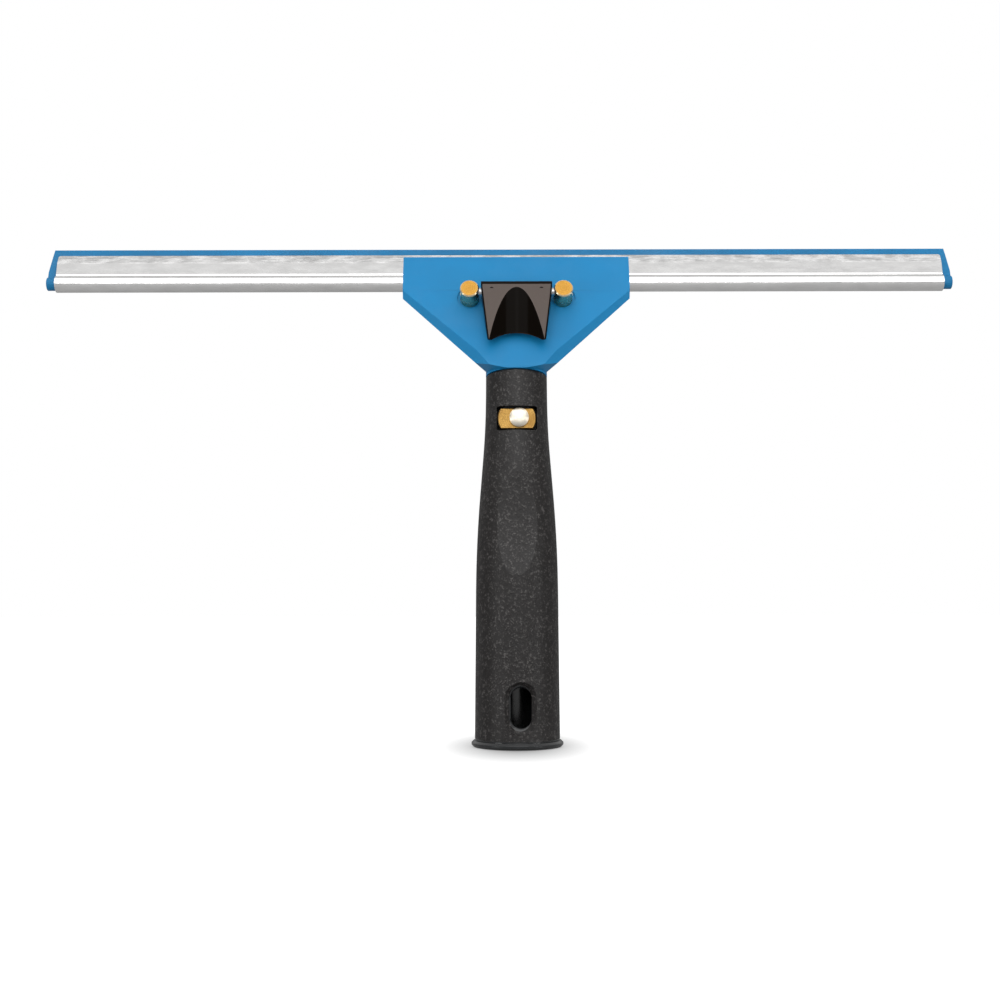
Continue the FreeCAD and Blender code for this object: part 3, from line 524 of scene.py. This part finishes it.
class SQUEEGEE_OT_channel(bpy.types.Operator):
    """The folded steel channel"""

    bl_idname = "squeegee.channel"
    bl_label = "Channel"

    def execute(self, context):
        piece = softened("channel", "folded_channel", channel_material(), "channel", 0.0)
        up = head_turn().to_3x3() @ Vector((0, 1, 0))
        foot = Vector(BEAD_CENTRE)
        for edge in piece.data.edges:
            heights = [(piece.data.vertices[index].co - foot).dot(up) for index in edge.vertices]
            if max(abs(height - WALL_HEAD) for height in heights) < RIDGE_BAND:
                edge.use_edge_sharp = True
        return {"FINISHED"}


class SQUEEGEE_OT_head(bpy.types.Operator):
    """The head and its rear jaw"""

    bl_idname = "squeegee.head"
    bl_label = "Head"

    def execute(self, context):
        blue = moulded_plastic("Head blue", finish().head_blue, gloss=0.42, grain_scale=2200.0,
                               grain_depth=0.018 * MM, wear=0.5, dust=0.05, edge_gain=1.4, shine=0.25)
        black = moulded_plastic("Spigot painted shade", finish().core_black, gloss=0.4, grain_scale=1500.0,
                                grain_depth=0.01 * MM, wear=0.2, dust=0.0, shine=0.2)
        head = softened("head_body", "head", blue, "handle", finish().edge_round)
        # Painted shade: the head's spigot below the grip's rim gets the socket's black, standing in for the
        # shade inside the grip.
        head.data.materials.append(black)
        for polygon in head.data.polygons:
            if polygon.center.z < RIM:
                polygon.material_index = 1
        softened("rear_jaw", "jaw", blue, "clamp", finish().edge_round)
        return {"FINISHED"}


class SQUEEGEE_OT_clamp(bpy.types.Operator):
    """The brass posts, their washers and nuts, the hinge pin and the jaw springs"""

    bl_idname = "squeegee.clamp"
    bl_label = "Clamp Hardware"

    def execute(self, context):
        steel = plated_material()
        for side in SIDES:
            node = "clamp_post_" + side
            turn = head_turn().to_euler()
            # The posts get a painted highlight: a bright ring at the rim of their faces.
            brass = brass_material("Post brass " + side, post_foot(side), turn, finish().brass,
                                   rim=POST_RADIUS)
            softened(node, "post_" + side, brass, "clamp", 0.0)
            paint("post_washer_" + side, steel)
            paint("post_nut_" + side, steel)
            paint("jaw_spring_" + side, steel)
        paint("lever_pin", steel)
        return {"FINISHED"}


class SQUEEGEE_OT_lever(bpy.types.Operator):
    """The release lever"""

    bl_idname = "squeegee.lever"
    bl_label = "Release Lever"

    def execute(self, context):
        # The lever's edges are painted twelve times lighter than its black: partly rubbed wear, partly a
        # painted highlight of its polished edges.
        black = moulded_plastic("Lever black", finish().lever_black, gloss=0.12, grain_scale=1500.0,
                                grain_depth=0.004 * MM, wear=0.6, dust=0.01, edge_gain=12.0, shine=0.03)
        # Painted reflection: the lever's flat faces get a warm grey copy of its plastic, standing in for the
        # soft light they reflect.
        face = moulded_plastic("Lever face painted reflection", finish().lever_face_reflection, gloss=0.34, grain_scale=1500.0,
                               grain_depth=0.012 * MM, wear=0.5, dust=0.08, edge_gain=1.5, shine=0.3)
        lever = softened("release_lever", "lever", black, "lever", finish().edge_round * 0.5,
                         crisp=9.0)
        lever.data.materials.append(face)
        outward = face_direction()
        for polygon in lever.data.polygons:
            if polygon.normal.dot(outward) > FACE_ALIGNED and polygon.area > FACE_AREA:
                polygon.material_index = 1
        return {"FINISHED"}


class SQUEEGEE_OT_handle(bpy.types.Operator):
    """The textured grip and the socket inside it"""

    bl_idname = "squeegee.handle"
    bl_label = "Handle"

    def execute(self, context):
        # The grip's grain is given painted pale glints, a painted highlight of its spark texture.
        grip = moulded_plastic("Grip black", finish().grip_black, gloss=0.40, grain_scale=1500.0,
                               grain_depth=0.30 * MM, wear=0.4, dust=0.05, edge_gain=2.2, shine=0.38,
                               painted_glints=0.19)
        core = moulded_plastic("Core black", finish().core_black, gloss=0.16, grain_scale=1500.0,
                               grain_depth=0.010 * MM, wear=0.4, dust=0.03, edge_gain=2.5, shine=0.8)
        softened("grip", "textured_grip", grip, "handle", finish().metal_round)
        softened("handle_core", "socket", core, "handle", finish().metal_round)
        return {"FINISHED"}


class SQUEEGEE_OT_catch(bpy.types.Operator):
    """The catch that locks the head in the grip"""

    bl_idname = "squeegee.catch"
    bl_label = "Head Catch"

    def execute(self, context):
        turn = (math.pi / 2, 0, 0)
        # Painted shade: the pad gets a darker copy of the brass.
        pad = brass_material("Catch brass", middle("catch_pad"), turn, finish().catch_brass, gloss=0.24)
        # Painted reflection: the button gets a near-white copy of the catch's brass.
        button = brass_material("Button brass", middle("catch_button"), turn, finish().button_brass_reflection,
                                gloss=0.30)
        plunger = moulded_plastic("Plunger black", finish().core_black, gloss=0.3, grain_scale=1500.0,
                                  grain_depth=0.01 * MM, wear=0.3, dust=0.02)
        softened("catch_pad", "pad", pad, "catch", finish().metal_round)
        softened("catch_button", "button", button, "catch", 0.0)
        paint("catch_plunger", plunger)
        coil = softened("catch_spring", "coil", plated_material(), "handle", 0.0)
        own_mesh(coil)
        return {"FINISHED"}


# ---------------------------------------------------------------- stage
def area_light(name, place, aim, size, power):
    data = bpy.data.lights.new(name, "AREA")
    data.shape = "RECTANGLE"
    data.size, data.size_y = size
    data.energy = power
    light = bpy.data.objects.new(name, data)
    light.location = place
    light.rotation_euler = (Vector(aim) - Vector(place)).to_track_quat("-Z", "Y").to_euler()
    bpy.context.scene.collection.objects.link(light)
    return light


def make_world(strength):
    """White to the camera; softer, and darker towards the ground, for everything else."""
    world = bpy.data.worlds.new("Studio")
    bpy.context.scene.world = world
    world.use_nodes = True
    g = Graph(world.node_tree)
    shader = world.node_tree.nodes["Background"]
    where = g.node("ShaderNodeTexCoord")
    apart = g.node("ShaderNodeSeparateXYZ")
    g.link(where.outputs["Generated"], apart.inputs[0])
    rise = g.span(apart.outputs["Z"], 0.06, 0.34, 0.20, 1.0)
    seen = g.node("ShaderNodeLightPath").outputs["Is Camera Ray"]
    lit = g.math("MULTIPLY", rise, strength)
    g.link(g.math("ADD", g.math("MULTIPLY", lit, g.math("SUBTRACT", 1.0, seen)), seen),
           shader.inputs["Strength"])
    shader.inputs["Color"].default_value = (1.0, 1.0, 1.0, 1.0)


def make_floor():
    edit = bmesh.new()
    bmesh.ops.create_grid(edit, x_segments=1, y_segments=1, size=FLOOR_HALF)
    mesh = bpy.data.meshes.new("floor")
    edit.to_mesh(mesh)
    edit.free()
    floor = bpy.data.objects.new("floor", mesh)
    floor.location.z = -FLOOR_DROP
    bpy.context.scene.collection.objects.link(floor)
    made, g, shader = new_material("Pale floor")
    seen = g.node("ShaderNodeLightPath").outputs["Is Camera Ray"]
    g.link(g.mix(seen, (0.45, 0.45, 0.45, 1.0), (0.35, 0.35, 0.35, 1.0)), shader.inputs["Base Color"])
    shader.inputs["Roughness"].default_value = 0.8
    shader.inputs["Specular IOR Level"].default_value = 0.0
    shader.inputs["Emission Color"].default_value = (1.0, 1.0, 1.0, 1.0)
    # Painted shadow: to the camera the floor glows less near the handle, drawing its soft contact shadow.
    away = g.node("ShaderNodeVectorMath", operation="LENGTH")
    g.link(g.place(scale=(0.5, 1.0, 1.0)), away.inputs[0])
    painted_shadow_glow = g.span(away.outputs["Value"], SHADOW_NEAR, SHADOW_FAR, 0.20, 1.0)
    g.link(g.math("MULTIPLY", seen, painted_shadow_glow), shader.inputs["Emission Strength"])
    mesh.materials.append(made)


class SQUEEGEE_OT_stage(bpy.types.Operator):
    """The floor, the lights and the camera"""

    bl_idname = "squeegee.stage"
    bl_label = "Stage"

    def execute(self, context):
        stage = context.scene.squeegee_stage
        make_world(stage.sky)
        make_floor()
        area_light("High", (0.0, -0.50, 0.88), HEAD_AIM, (1.5, 0.60), stage.high_power)
        area_light("Low", (0.0, -0.90, 0.42), HEAD_AIM, (1.0, 0.62), stage.low_power)
        area_light("Strip", (0.0, -1.0, 0.12), HEAD_AIM, (0.14, 0.55), stage.strip_power)
        for side in (-1, 1):
            area_light("Side", (side * 0.75, -0.55, 0.05), HEAD_AIM, (0.30, 0.09), stage.side_power)
        data = bpy.data.cameras.new("Camera")
        data.lens = stage.lens
        data.sensor_width = FILM_WIDTH
        camera = bpy.data.objects.new("Camera", data)
        camera.location = (CAMERA_SIDE, -stage.camera_distance, CAMERA_HEIGHT)
        camera.rotation_euler = (math.pi / 2 + CAMERA_RISE, CAMERA_ROLL, 0.0)
        context.scene.collection.objects.link(camera)
        context.scene.camera = camera
        context.scene.view_settings.view_transform = "Standard"
        return {"FINISHED"}


class SQUEEGEE_PT_panel(bpy.types.Panel):
    """Lists the squeegee's pieces and their settings"""

    bl_idname = "SQUEEGEE_PT_panel"
    bl_label = "Window Squeegee"
    bl_space_type = "VIEW_3D"
    bl_region_type = "UI"
    bl_category = "Squeegee"

    def draw(self, context):
        layout = self.layout
        for operator in OPERATORS:
            layout.operator(operator.bl_idname)
        for group in (context.scene.squeegee_finish, context.scene.squeegee_stage):
            for key in group.bl_rna.properties.keys():
                if key not in ("rna_type", "name"):
                    layout.prop(group, key)


OPERATORS = (SQUEEGEE_OT_stage, SQUEEGEE_OT_blade, SQUEEGEE_OT_channel, SQUEEGEE_OT_head, SQUEEGEE_OT_clamp,
             SQUEEGEE_OT_lever, SQUEEGEE_OT_handle, SQUEEGEE_OT_catch)
CLASSES = (SqueegeeFinish, SqueegeeStage) + OPERATORS + (SQUEEGEE_PT_panel,)


def register():
    for cls in CLASSES:
        bpy.utils.register_class(cls)
    bpy.types.Scene.squeegee_finish = PointerProperty(type=SqueegeeFinish)
    bpy.types.Scene.squeegee_stage = PointerProperty(type=SqueegeeStage)


def unregister():
    del bpy.types.Scene.squeegee_stage
    del bpy.types.Scene.squeegee_finish
    for cls in reversed(CLASSES):
        bpy.utils.unregister_class(cls)


def main():
    register()
    bpy.ops.squeegee.stage()
    bpy.ops.squeegee.blade()
    bpy.ops.squeegee.channel()
    bpy.ops.squeegee.head()
    bpy.ops.squeegee.clamp()
    bpy.ops.squeegee.lever()
    bpy.ops.squeegee.handle()
    bpy.ops.squeegee.catch()


if __name__ == "__main__":
    main()
